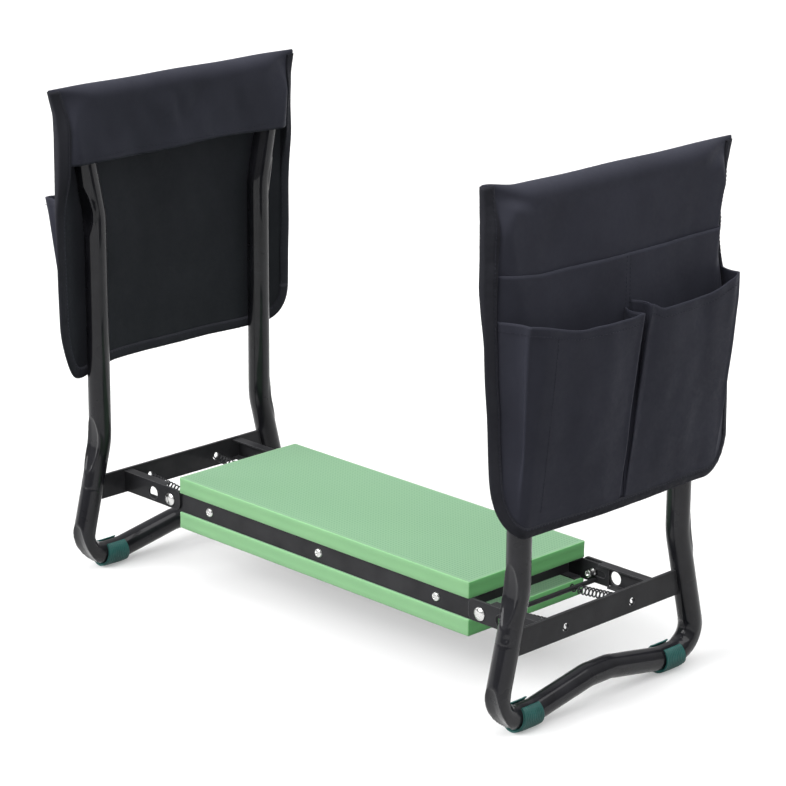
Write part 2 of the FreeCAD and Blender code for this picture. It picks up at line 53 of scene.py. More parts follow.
# Lengths and heights in millimetres: X is along the seat, Y across it, and heights are above the floor.
LEG_X = 280.0
TUBE_R = 11.0
UPRIGHT_Y = 105.0
JOINT_LEVEL, LOW_BEND, HIGH_BEND, HANDLE_TOP = 84.0, 132.0, 358.0, 473.0
FOOT_LEVEL = 13.4
PIVOT = (209.0, 80.75)
RAIL_FACE = 74.5
PAD_X, PAD_Y, PAD_Z = 195.5, 77.0, 8.0
ROD = (211.0, 73.3)
SPRING_Y = 44.0
WIRE_R = 0.75
RIDGE, FLAP_HEM, SLIM_HEM = 486.0, 412.0, 411.0
CLOTH = 1.1

# ------------ materials


class Shader:
    """A node material: build the node chain with calls, then hand it to a piece."""

    def __init__(self, name, color, rough, metallic=0.0):
        self.material = bpy.data.materials.new(name)
        self.material.use_nodes = True
        self.material.diffuse_color = (*color, 1.0)
        self.tree = self.material.node_tree
        self.bsdf = next(n for n in self.tree.nodes if n.type == "BSDF_PRINCIPLED")
        self.coords = self.node("TexCoord").outputs["Object"]
        self.height = None
        self.set("Base Color", (*color, 1.0))
        self.set("Roughness", rough)
        self.set("Metallic", metallic)

    def node(self, kind):
        return self.tree.nodes.new("ShaderNode" + kind)

    def feed(self, node, socket, value):
        """Puts a number, a vector or another node's output on an input."""
        if isinstance(value, bpy.types.NodeSocket):
            self.tree.links.new(value, node.inputs[socket])
        else:
            node.inputs[socket].default_value = value

    def set(self, socket, value):
        self.feed(self.bsdf, socket, value)

    def math(self, operation, first, second=0.0, third=0.0):
        node = self.node("Math")
        node.operation = operation
        for number, value in enumerate((first, second, third)):
            self.feed(node, number, value)
        return node.outputs[0]

    def times(self, first, second):
        return self.math("MULTIPLY", first, second)

    def noise(self, per_metre, detail=3.0, stretch=(1, 1, 1)):
        """Noise of about that many features per metre, from 0 to 1."""
        mapping, node = self.node("Mapping"), self.node("TexNoise")
        self.feed(mapping, "Scale", stretch)
        self.feed(mapping, "Vector", self.coords)
        self.feed(node, "Scale", per_metre)
        self.feed(node, "Detail", detail)
        self.feed(node, "Vector", mapping.outputs[0])
        return node.outputs["Fac"]

    def spread(self, value, low, high, start=0.3, end=0.7):
        """A value between start and end turned into one between low and high."""
        node = self.node("MapRange")
        for socket, number in enumerate((value, start, end, low, high)):
            self.feed(node, socket, number)
        return node.outputs[0]

    def mix(self, factor, first, second):
        node = self.node("Mix")
        node.data_type = "RGBA"
        self.feed(node, 0, factor)
        for socket, color in ((6, first), (7, second)):
            self.feed(node, socket, color if isinstance(color, bpy.types.NodeSocket) else (*color, 1.0))
        return node.outputs[2]

    def parts(self, vector):
        """The outputs X, Y and Z of a vector."""
        node = self.node("SeparateXYZ")
        self.feed(node, 0, vector)
        return node.outputs

    def bump(self, value, distance, strength):
        """Adds relief: value 0 to 1 is a height up to distance, in metres."""
        node = self.node("Bump")
        self.feed(node, "Strength", strength)
        self.feed(node, "Distance", distance)
        self.feed(node, "Height", value)
        if self.height is not None:
            self.feed(node, "Normal", self.height)
        self.height = node.outputs[0]
        self.set("Normal", self.height)

    def bevel(self, radius):
        """A normal that rounds sharp edges by that radius, in metres."""
        node = self.node("Bevel")
        node.samples = 6
        self.feed(node, "Radius", radius)
        return node.outputs[0]

    def edge_mask(self, radius, gain):
        """About 1 near sharp edges and 0 on flats."""
        dot = self.node("VectorMath")
        dot.operation = "DOT_PRODUCT"
        self.feed(dot, 0, self.bevel(radius))
        self.feed(dot, 1, self.node("NewGeometry").outputs["Normal"])
        return self.times(self.math("SUBTRACT", 1.0, dot.outputs["Value"]), gain)


def tinted(color, gain, lift=0.0):
    """A colour made lighter or darker."""
    return tuple(gain * part + lift for part in color)


def paint_material(name, color, rough, coat, edge=0.0):
    """Enamel or powder paint: orange peel, faint mottling, and a lighter colour on edges of that radius."""
    shader = Shader(name, color, rough)
    shader.set("Specular IOR Level", 0.08)
    shader.set("Coat Weight", coat)
    shader.set("Coat Roughness", 0.06)
    shader.set("Roughness", shader.spread(shader.noise(60, 4), rough - 0.05, rough + 0.07))
    cloudy = shader.mix(shader.spread(shader.noise(35, 3), 0.0, 1.0), color, tinted(color, 1.6, 0.004))
    if edge:
        shader.height = shader.bevel(edge)
        # A lighter grey is painted along sharp edges and broken up by noise.
        edge_tint_mask = shader.times(shader.edge_mask(edge * 1.6, 5.0), shader.noise(220, 2))
        cloudy = shader.mix(shader.math("MINIMUM", edge_tint_mask, 0.6), cloudy, (0.20, 0.20, 0.21))
    shader.set("Base Color", cloudy)
    shader.bump(shader.noise(900, 2), 0.00002, 0.35)
    return shader.material


def metal_material(name, color, rough):
    """Bare or plated steel with fine scratches."""
    shader = Shader(name, color, rough, 1.0)
    shader.set("Roughness", shader.spread(shader.noise(300, 4), rough - 0.08, rough + 0.12))
    shader.set("Base Color", shader.mix(shader.noise(500, 3), color, tinted(color, 0.72)))
    shader.bump(shader.noise(1400, 2, (1, 0.15, 1)), 0.00002, 0.4)
    return shader.material


def foam_material():
    """Closed-cell foam; the top face carries fine rows of pressed dots inside a plain border, and the end
    faces carry painted shade.
    """
    light, deep = (0.29, 0.60, 0.285), (0.235, 0.53, 0.25)
    # The first colour here is painted shade for the pad's end faces: a darker, more saturated green than the
    # rest.
    painted_end_shade, top = (0.16, 0.58, 0.175), (0.197, 0.402, 0.215)
    half_pitch, border = 0.0017, 0.001
    shader = Shader("green_foam", light, 0.72)
    shader.set("Subsurface Weight", 0.08)
    shader.set("Subsurface Radius", (0.004, 0.006, 0.003))
    shader.set("Sheen Weight", 0.25)
    shader.set("Sheen Roughness", 0.5)
    normal = shader.parts(shader.node("NewGeometry").outputs["Normal"])
    facing = shader.spread(normal["Z"], 0.0, 1.0, 0.9, 0.97)
    ends = shader.spread(shader.math("ABSOLUTE", normal["X"]), 0.0, 1.0, 0.6, 0.9)
    marks = facing
    for letter, reach in (("X", 0.1905), ("Y", 0.0725)):
        place = shader.parts(shader.coords)[letter]
        dot = shader.spread(shader.math("PINGPONG", place, half_pitch), 1.0, 0.0, 0.0003, 0.0012)
        inside = shader.spread(shader.math("ABSOLUTE", place), 1.0, 0.0, reach, reach + border)
        marks = shader.times(marks, shader.times(dot, inside))
    cells = shader.noise(1600, 4)
    mottled = shader.mix(shader.spread(shader.noise(25, 4), 0.0, 0.3), light, deep)
    # Faces along X take the painted end shade; the top face takes its own colour.
    mottled = shader.mix(facing, shader.mix(ends, mottled, painted_end_shade), top)
    grain = shader.mix(shader.spread(cells, 0.0, 0.12), mottled, (0.38, 0.64, 0.40))
    shader.set("Base Color", shader.mix(shader.times(marks, 0.9), grain, (0.10, 0.28, 0.15)))
    shader.set("Roughness", shader.spread(cells, 0.64, 0.82))
    shader.bump(cells, 0.00008, 0.35)
    shader.bump(shader.math("SUBTRACT", 1.0, marks), 0.00018, 0.55)
    return shader.material


def cloth_material(name, color, rough=0.62, pitch=0.00055, sheen=0.06, relief=0.00006):
    """A plain weave whose threads run along the object's Y and Z, with slight shade changes."""
    shader = Shader(name, color, rough)
    shader.set("Specular IOR Level", 0.08)
    shader.set("Sheen Weight", sheen)
    shader.set("Sheen Roughness", 0.45)
    shader.set("Sheen Tint", (0.75, 0.78, 0.95, 1.0))
    place = shader.parts(shader.coords)
    warp, weft = (shader.math("SINE", shader.times(place[letter], 2 * math.pi / pitch)) for letter in "YZ")
    weave = shader.math("MULTIPLY_ADD", shader.times(warp, weft), 0.5, 0.5)
    shade = shader.mix(shader.spread(shader.noise(18, 4), 0.0, 1.0), tinted(color, 0.87), tinted(color, 1.15))
    shader.set("Base Color", shader.mix(shader.times(weave, 0.35), shade, tinted(color, 1.4)))
    shader.set("Roughness", shader.spread(shader.noise(240, 3), rough - 0.08, rough + 0.08))
    shader.bump(weave, relief, 0.5)
    shader.bump(shader.noise(90, 3), 0.0005, 0.12)
    return shader.material


def plastic_material(name, color, rough):
    """Moulded plastic with a fine grain."""
    shader = Shader(name, color, rough)
    cloudy = shader.spread(shader.noise(120, 4), 0.0, 1.0)
    shader.set("Base Color", shader.mix(cloudy, color, tinted(color, 1.5, 0.003)))
    grain = shader.noise(700, 3)
    shader.set("Roughness", shader.spread(grain, rough - 0.08, rough + 0.1))
    shader.bump(grain, 0.00005, 0.4)
    return shader.material


MATERIALS = {
    "tube": paint_material("tube_paint", (0.009, 0.009, 0.0115), 0.3, 0.42),
    "steel": paint_material("steel_paint", (0.020, 0.020, 0.022), 0.4, 0.12, 0.0006),
    "zinc": metal_material("zinc_steel", (0.72, 0.72, 0.71), 0.26),
    "spring": metal_material("spring_steel", (0.06, 0.06, 0.065), 0.32),
    "foam": foam_material(),
    "clip": plastic_material("clip_plastic", (0.008, 0.078, 0.070), 0.5),
    "board": plastic_material("board_plastic", (0.013, 0.013, 0.014), 0.55),
    "cloth": cloth_material("pouch_cloth", (0.039, 0.0402, 0.054)),
    # A darker copy of the pouch cloth: painted shade for the cover's side facing the seat.
    "painted_shade_cloth": cloth_material("pouch_painted_shade", (0.022, 0.0235, 0.028)),
    "binding": cloth_material("binding_tape", (0.028, 0.0285, 0.035), 0.7, 0.0011, 0.05, 0.00015),
    "thread": cloth_material("thread", (0.030, 0.031, 0.042), 0.55, 0.0004, 0.05),
}

# ------------ mesh helpers


def piece(name, points, faces, finish, body):
    """A finished mesh piece that rides on a body; points are in millimetres."""
    mesh = bpy.data.meshes.new(name)
    mesh.from_pydata((np.asarray(points, float) * MM).tolist(), [], [tuple(map(int, face)) for face in faces])
    mesh.validate()
    mesh.update()
    mesh.shade_smooth()
    mesh.materials.append(MATERIALS[finish])
    thing = bpy.data.objects.new(name, mesh)
    bpy.context.scene.collection.objects.link(thing)
    if body:
        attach(thing, body)
    return thing


def strip_faces(rows, columns, closed_rows=False, closed_columns=False):
    """Quads over a grid of points stored row by row."""
    faces = []
    for row in range(rows if closed_rows else rows - 1):
        here, down = row * columns, (row + 1) % rows * columns
        for column in range(columns if closed_columns else columns - 1):
            right = (column + 1) % columns
            faces.append((here + column, here + right, down + right, down + column))
    return faces


def capped_faces(rows, columns):
    """Quads over closed rings of points, with a face over each end."""
    last = (rows - 1) * columns
    caps = [tuple(range(columns))[::-1], tuple(range(last, last + columns))]
    return strip_faces(rows, columns, closed_columns=True) + caps


def merged(parts):
    """Several (points, faces) as one."""
    points, faces, count = [], [], 0
    for some_points, some_faces in parts:
        points.append(np.asarray(some_points, float))
        faces.extend(tuple(index + count for index in face) for face in some_faces)
        count += len(some_points)
    return np.concatenate(points), faces


def eased(value):
    """A slow start and end between 0 and 1."""
    value = np.clip(value, 0.0, 1.0)
    return value * value * (3 - 2 * value)


def unit(vectors):
    return vectors / np.maximum(np.linalg.norm(vectors, axis=-1, keepdims=True), 1e-9)


def travelled(line):
    """Distance from the start of a line to each of its points."""
    return np.concatenate([[0], np.cumsum(np.linalg.norm(np.diff(line, axis=0), axis=1))])


def rounded_path(corners, radii, step=1.5):
    """Points in the Y-Z plane along straight runs joined by tangent arcs, about step apart."""
    corners = [np.array(corner, float) for corner in corners]
    here = corners[0]
    dense = []

    def run(start, end):
        count = max(2, int(np.linalg.norm(end - start) / step))
        dense.extend(start + (end - start) * number / count for number in range(count))

    for before, corner, after, radius in zip(corners, corners[1:], corners[2:], radii):
        into, out = unit(corner - before), unit(after - corner)
        half = 0.5 * math.acos(np.clip(into @ out, -1, 1))
        setback = radius * math.tan(half)
        centre = corner + unit(out - into) * radius / math.cos(half)
        first = corner - into * setback
        run(here, first)
        turn = math.copysign(1.0, into[0] * out[1] - into[1] * out[0])
        count = max(3, int(2 * half * radius / step))
        spoke = first - centre
        for number in range(count):
            angle = turn * 2 * half * number / count
            c, s = math.cos(angle), math.sin(angle)
            dense.append(centre + np.array([c * spoke[0] - s * spoke[1], s * spoke[0] + c * spoke[1]]))
        here = corner + out * setback
    run(here, corners[-1])
    dense.append(corners[-1])
    return np.array(dense)


def path_frames(path):
    """In-plane normals and the distance travelled, for a path in the Y-Z plane."""
    tangents = unit(np.gradient(path, axis=0))
    return np.stack([-tangents[:, 1], tangents[:, 0]], 1), travelled(path)


def wire_mesh(line, radius=WIRE_R, sides=10):
    """A round wire along a 3-D line, with rounded-off ends."""
    line = np.asarray(line, float)
    tangents = unit(np.gradient(line, axis=0))
    normal = unit(np.cross(tangents[0], (0.3, 0.9, 0.2)))
    rings = []
    angles = np.linspace(0, 2 * math.pi, sides, endpoint=False)
    for index, (point, tangent) in enumerate(zip(line, tangents)):
        normal = unit(normal - tangent * (normal @ tangent))
        side = np.cross(tangent, normal)
        size = radius * (0.55 if index in (0, len(line) - 1) else 1.0)
        rings.append(point + size * (np.outer(np.cos(angles), normal) + np.outer(np.sin(angles), side)))
    return np.concatenate(rings), capped_faces(len(line), sides)


def lathe(profile, centre, outward, sides=40):
    """A turned shape: profile is (radius, height) pairs, its axis is world Y times outward."""
    angles = np.linspace(0, 2 * math.pi, sides, endpoint=False)
    turned = np.stack([np.cos(angles), np.zeros(sides), np.sin(angles)], 1)
    rows = [turned * radius + (0.0, outward * height, 0.0) + np.array(centre) for radius, height in profile]
    faces = capped_faces(len(profile), sides)
    if outward > 0:
        faces = [face[::-1] for face in faces]
    return np.concatenate(rows), faces


def cloth_shell(grid, thickness):
    """A closed thin sheet over a grid of middle points, rows by columns by xyz."""
    rows, columns = grid.shape[:2]
    push = unit(np.cross(np.gradient(grid, axis=1), np.gradient(grid, axis=0))) * thickness / 2
    count = rows * columns
    faces = strip_faces(rows, columns)
    faces += [tuple(index + count for index in face[::-1]) for face in faces]
    order = np.arange(count).reshape(rows, columns)
    rim = [*order[0], *order[1:, -1], *order[-1, -2::-1], *order[-2:0:-1, 0]]
    for first, second in zip(rim, rim[1:] + rim[:1]):
        faces.append((second, first, first + count, second + count))
    return np.concatenate([(grid + push).reshape(-1, 3), (grid - push).reshape(-1, 3)]), faces


# ------------ leg frames


def upright_y(level):
    """Half the distance between a leg's uprights at a height: they splay below and above two bends."""
    level = np.asarray(level, float)
    low = math.tan(math.radians(14.0)) * np.maximum(0, LOW_BEND - level)
    return UPRIGHT_Y + low + math.tan(math.radians(11.5)) * np.maximum(0, level - HIGH_BEND)


def mirrored(front):
    """A front half of (half width, level) corners, followed by its mirror image at the rear."""
    return [(-half, level) for half, level in front] + [(half, level) for half, level in reversed(front)]


def handle_path():
    levels = (JOINT_LEVEL, LOW_BEND, HIGH_BEND, HANDLE_TOP)
    return rounded_path(mirrored([(upright_y(level), level) for level in levels]), [80, 80, 30, 30, 80, 80])


def foot_path(step=1.2):
    outline = [(upright_y(level), level) for level in (JOINT_LEVEL, FOOT_LEVEL)]
    outline += [(84.0, FOOT_LEVEL), (14.0, 26.0)]
    return rounded_path(mirrored(outline), [25, 40, 40, 40, 40, 25], step)


def dent(travel, angles, where, half_length, facing, half_angle, depth, rim=0.5):
    """Inward push of a lens-shaped crush mark, with a slightly raised rim."""
    along = (travel - where) / half_length
    body = np.clip(1 - along ** 2, 0, None)
    width = np.maximum(half_angle * np.sqrt(body), 1e-3)
    off = (angles - facing + math.pi) % (2 * math.pi) - math.pi
    across = off[None, :] / width[:, None]
    inside = np.clip(1 - across ** 2, 0, None) ** 0.6
    ridge = np.exp(-((np.abs(across) - 1.08) / 0.22) ** 2)
    return depth * (body ** 0.7)[:, None] * inside - rim * body[:, None] * ridge


def nearest(path, travel, level, front):
    """Distance travelled where a path passes a height on its front or rear half."""
    half = path[:, 0] < 0 if front else path[:, 0] > 0
    gap = np.where(half, np.abs(path[:, 1] - level), 1e9)
    return travel[int(np.argmin(gap))]


def tube_mesh(path, side, push, sides=64, end_lip=0.1):
    """A round bar along a path at the leg's plane, pushed in or out by push(travel, angles)."""
    close = [0.97 * path[end] + 0.03 * path[beside] for end, beside in ((0, 1), (-1, -2))]
    path = np.vstack([path[:1], close[:1], path[1:-1], close[1:], path[-1:]])
    normals, travel = path_frames(path)
    angles = np.linspace(0, 2 * math.pi, sides, endpoint=False)
    radius = TUBE_R - push(travel, angles)
    reach = np.minimum(travel, travel[-1] - travel)
    radius -= (end_lip * np.clip(1 - reach / 1.3, 0, 1) ** 2)[:, None]
    across = radius * np.sin(angles)[None, :]
    inplane = radius * np.cos(angles)[None, :]
    points = np.zeros((len(path), sides, 3))
    points[:, :, 0] = side * (LEG_X + across)
    points[:, :, 1] = path[:, 0, None] + normals[:, 0, None] * inplane
    points[:, :, 2] = path[:, 1, None] + normals[:, 1, None] * inplane
    faces = strip_faces(len(path), sides, closed_columns=True)
    faces.append(tuple(range(sides)))
    faces.append(tuple(range((len(path) - 1) * sides, len(path) * sides)))
    return points.reshape(-1, 3), faces


def make_tubes(name, side):
    """The handle and foot tubes, crushed a little on the inside of every bend."""
    body = f"{name}_leg"
    path = handle_path()
    path_travel = travelled(path)

    def handle_push(travel, angles):
        total = np.zeros((len(travel), len(angles)))
        for end in (-1, 1):
            for level, length, depth in ((127.0, 30.0, 3.8), (366.0, 27.0, 3.8)):
                where = nearest(path, path_travel, level, end < 0)
                total += dent(travel, angles, where, length, 0.0, 0.8, depth, 1.3)
            where = nearest(path, path_travel, 89.5, end < 0)
            total += dent(travel, angles, where, 2.6, 0.5, 0.22, 0.9, 0.1)
        return total

    points, faces = tube_mesh(path, side, handle_push)
    handle = piece(f"{name}_handle", points, faces, "tube", body)
    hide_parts(f"{name}_handle_tube")

    low = foot_path()
    low_travel = travelled(low)

    def foot_push(travel, angles):
        total = np.zeros((len(travel), len(angles)))
        for end in (-1, 1):
            corner = nearest(low, low_travel, 27.0, end < 0)
            total += dent(travel, angles, corner, 21.0, math.pi, 0.95, 5.8, 0.7)
            total += dent(travel, angles, corner + end * 1.5, 17.0, 0.0, 1.25, 1.2, 0.2)
        return total

    points, faces = tube_mesh(low, side, foot_push)
    foot = piece(f"{name}_foot_bar", points, faces, "tube", body)
    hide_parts(f"{name}_foot_tube")


def make_clip(name, side, end_name, end):
    """A ribbed C-shaped sleeve pushed onto the foot bar from below."""
    around, near, far = 49, 82.0, 108.0
    path = foot_path(0.35)
    if end > 0:
        path = path[::-1]
    normals, travel = path_frames(path)
    halves = np.abs(path[:, 0])
    chosen = (path[:, 0] * end > 0) & (path[:, 1] < 24) & (halves >= near) & (halves <= far)
    path, normals, travel = path[chosen], normals[chosen], travel[chosen]
    up = normals * np.sign(normals[:, 1])[:, None]
    rows = []
    angles = np.linspace(math.radians(34), math.radians(326), around)
    for (y, z), (up_y, up_z), where in zip(path, up, travel):
        rib = 0.55 * (0.5 + 0.5 * math.cos(2 * math.pi * where / 2.3)) ** 0.7
        outer = np.full(around, 12.95 + rib)
        outer[[0, -1]] -= 0.5
        inner = np.full(around, 11.7)
        inner[[0, -1]] += 0.3
        for radius, these in ((outer, angles), (inner[::-1], angles[::-1])):
            x = side * (LEG_X + radius * np.sin(these))
            ring_y = y + up_y * radius * np.cos(these)
            ring_z = np.maximum(z + up_z * radius * np.cos(these), 0.05)
            rows.append(np.stack([x, ring_y, ring_z], 1))
    count, ring = len(path), 2 * around
    faces = strip_faces(count, ring, closed_columns=True)
    for first in (0, (count - 1) * ring):
        for index in range(around - 1):
            other = first + ring - 1 - index
            faces.append((first + index, first + index + 1, other - 1, other))
    points = np.array(rows).reshape(-1, 3)
    clip = piece(f"{name}_{end_name}_clip", points, faces, "clip", f"{name}_leg")
    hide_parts(f"{name}_{end_name}_foot")


# ------------ pivots, springs, screws


def make_rivets(name, side):
    """Domed rivets with a turned rim; the inner end is a short peened tube."""
    parts = []
    for end in ENDS.values():
        centre = (side * PIVOT[0], end * (RAIL_FACE + 2.45), PIVOT[1])
        head = [(0.01, 2.55), (1.6, 2.5), (3.4, 2.15), (4.9, 1.5), (5.6, 1.0), (5.75, 0.85)]
        head += [(6.2, 0.8), (6.25, 0.4), (6.2, 0.05), (3.0, 0.0)]
        parts.append(lathe(head[::-1], centre, end))
        inner = (side * PIVOT[0], end * (RAIL_FACE - 1.55), PIVOT[1])
        tail = [(2.95, 3.9), (2.95, 0.1), (3.6, 0.0), (3.6, -0.8), (3.3, -1.0), (3.3, -6.9)]
        tail += [(3.5, -7.2), (3.3, -7.5), (2.0, -7.5), (1.7, -6.2), (0.01, -6.1)]
        parts.append(lathe(tail[::-1], inner, end))
    points, faces = merged(parts)
    rivets = piece(f"{name}_rivets", points, faces, "zinc", f"{name}_pivot")
    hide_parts(f"{name}_pivot_rivets")


def screw_head(centre, outward):
    """A pan head with a pressed cross, over its shank."""
    rim, sides, cross, arm_width = 4.5, 64, 2.5, 0.75
    radii = np.linspace(0, 1, 15) ** 0.85 * rim
    angles = np.linspace(0, 2 * math.pi, sides, endpoint=False)
    rows = []
    for radius in radii[::-1]:
        height = 2.35 * (1 - (radius / rim) ** 3.2) ** 0.5 if radius < rim - 0.01 else 0.0
        x, z = radius * np.cos(angles), radius * np.sin(angles)
        turned_x, turned_z = (x + z) / math.sqrt(2), (x - z) / math.sqrt(2)
        arm = np.maximum(
            np.clip(1 - np.abs(turned_x) / arm_width, 0, 1) * (np.abs(turned_z) < cross),
            np.clip(1 - np.abs(turned_z) / arm_width, 0, 1) * (np.abs(turned_x) < cross),
        )
        lift = height - 1.3 * eased(arm * 2.0)
        rows.append(np.stack([centre[0] + x, centre[1] + outward * lift, centre[2] + z], 1))
    points = np.concatenate(rows)
    faces = strip_faces(len(radii), sides, closed_columns=True)
    if outward > 0:
        faces = [face[::-1] for face in faces]
    shank = lathe([(2.0, 0.2), (2.0, -13.0), (0.4, -14.0)][::-1], centre, outward, 20)
    return merged([(points, faces), shank])


def make_screws():
    for end_name, end in ENDS.items():
        heads = [screw_head((153.0 * number, end * RAIL_FACE, PIVOT[1]), end) for number in (-1, 0, 1)]
        points, faces = merged(heads)
        screws = piece(f"{end_name}_screws", points, faces, "zinc", "seat")
        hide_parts(f"{end_name}_rail_screws")


def make_springs(name, side):
    """Extension springs: a hook on the anchor rod, an open coil, and a hook through the crossbar."""
    hooks = []
    across = np.array([0.0, 1.0, 0.0])
    for end_name, end in ENDS.items():
        start = np.array([side * ROD[0], end * SPRING_Y, ROD[1]])
        finish = np.array([side * LEG_X, end * SPRING_Y, 80.0])
        along = unit(finish - start)
        up = np.cross((0, 1, 0), along) * side

        def eye(centre, reach, first, last):
            angles = np.radians(np.linspace(first, last, 22))
            return [centre + along * reach * math.cos(a) + up * reach * math.sin(a) for a in angles]

        hook = eye(start, 3.3, -80, -318)
        leave = hook[-1]
        for step in np.linspace(0.15, 1, 7):
            ease = eased(step)
            spot = leave + (start + along * 5.0 - leave) * step
            hook.append(spot * (1 - ease) + (start + along * (2.0 + 3.0 * step)) * ease)
        hook.extend(start + along * reach for reach in np.linspace(6.5, 10.5, 4))
        hooks.append(wire_mesh(hook))

        # The coil's own straight start runs back beside the hook's, so that they still meet when pulled out.
        coil = [start + along * reach + across * 0.5 for reach in (-3.0, -0.5, 2.0, 4.5)]
        turns, steps, first, length = 13.5, 26, 7.0, 59.0
        for step in range(int(turns * steps) + 1):
            turn = step / steps
            grow = eased(min(turn, turns - turn) / 0.4)
            angle = 2 * math.pi * turn
            offset = up * math.sin(angle) + across * math.cos(angle)
            coil.append(start + along * (first + length * turn / turns) + offset * (0.6 + 3.1 * grow))
        tip = eye(finish, 2.6, 168, -70)
        lead_in = [coil[-1] + (tip[0] - coil[-1]) * share for share in (0.35, 0.7)]
        points, faces = wire_mesh(coil + lead_in + tip)
        spring = piece(f"{name}_{end_name}_coil", points, faces, "spring", None)
        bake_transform(spring)
        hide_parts(f"{name}_{end_name}_spring")
    points, faces = merged(hooks)
    piece(f"{name}_rod_hooks", points, faces, "spring", "seat")


# ------------ pads


def pad_outline(inset, count=28):
    """A rounded rectangle, shrunk by inset, as points in order."""
    radius = max(1.6 - inset, 0.35)
    middle_x, middle_y = PAD_X - inset - radius, PAD_Y - inset - radius
    arcs = []
    for sign_x, sign_y, first in ((1, -1, -90), (1, 1, 0), (-1, 1, 90), (-1, -1, 180)):
        angles = np.radians(np.linspace(first, first + 90, 7))
        x, y = sign_x * middle_x + radius * np.cos(angles), sign_y * middle_y + radius * np.sin(angles)
        arcs.append(np.stack([x, y], 1))
    share = np.linspace(0, 1, count + 2)[1:-1, None]
    points = []
    for arc, following in zip(arcs, arcs[1:] + arcs[:1]):
        points += [arc, arc[-1] + (following[0] - arc[-1]) * share]
    return np.concatenate(points)


def make_pad(name, middle, crown):
    """A foam slab: soft edges, slightly wavy flanks, and a barely crowned face away from the board."""
    profile = [(0.9, -PAD_Z), (0.25, 0.25 - PAD_Z), (0.0, 0.9 - PAD_Z), (0.35, -3.0), (0.4, 0.0), (0.35, 3.0)]
    profile += [(0.0, PAD_Z - 0.9), (0.25, PAD_Z - 0.25), (0.9, PAD_Z)]
    inner = [2.0, 5.0, 12.0, 25.0, 45.0, 62.0, 74.0, 76.5]
    rows = [(inset, -PAD_Z) for inset in inner[::-1]] + profile + [(inset, PAD_Z) for inset in inner]
    rings = []
    for inset, height in rows:
        outline = pad_outline(inset)
        level = np.full(len(outline), middle + height)
        if inset > 1.5:
            level += crown * eased(inset / 70.0) * (height * crown > 0)
            level += 0.06 * np.sin(outline[:, 0] / 23.0) * np.cos(outline[:, 1] / 17.0)
        wave = 0.12 * np.sin(outline[:, 0] / 31.0 + height / 5.0) + 0.08 * np.sin(outline[:, 1] / 13.0)
        rings.append(np.column_stack([outline - np.sign(outline) * np.abs(wave)[:, None], level]))
    pad = piece(name, np.concatenate(rings), capped_faces(len(rings), len(rings[0])), "foam", "seat")
    return pad


# ------------ pouches


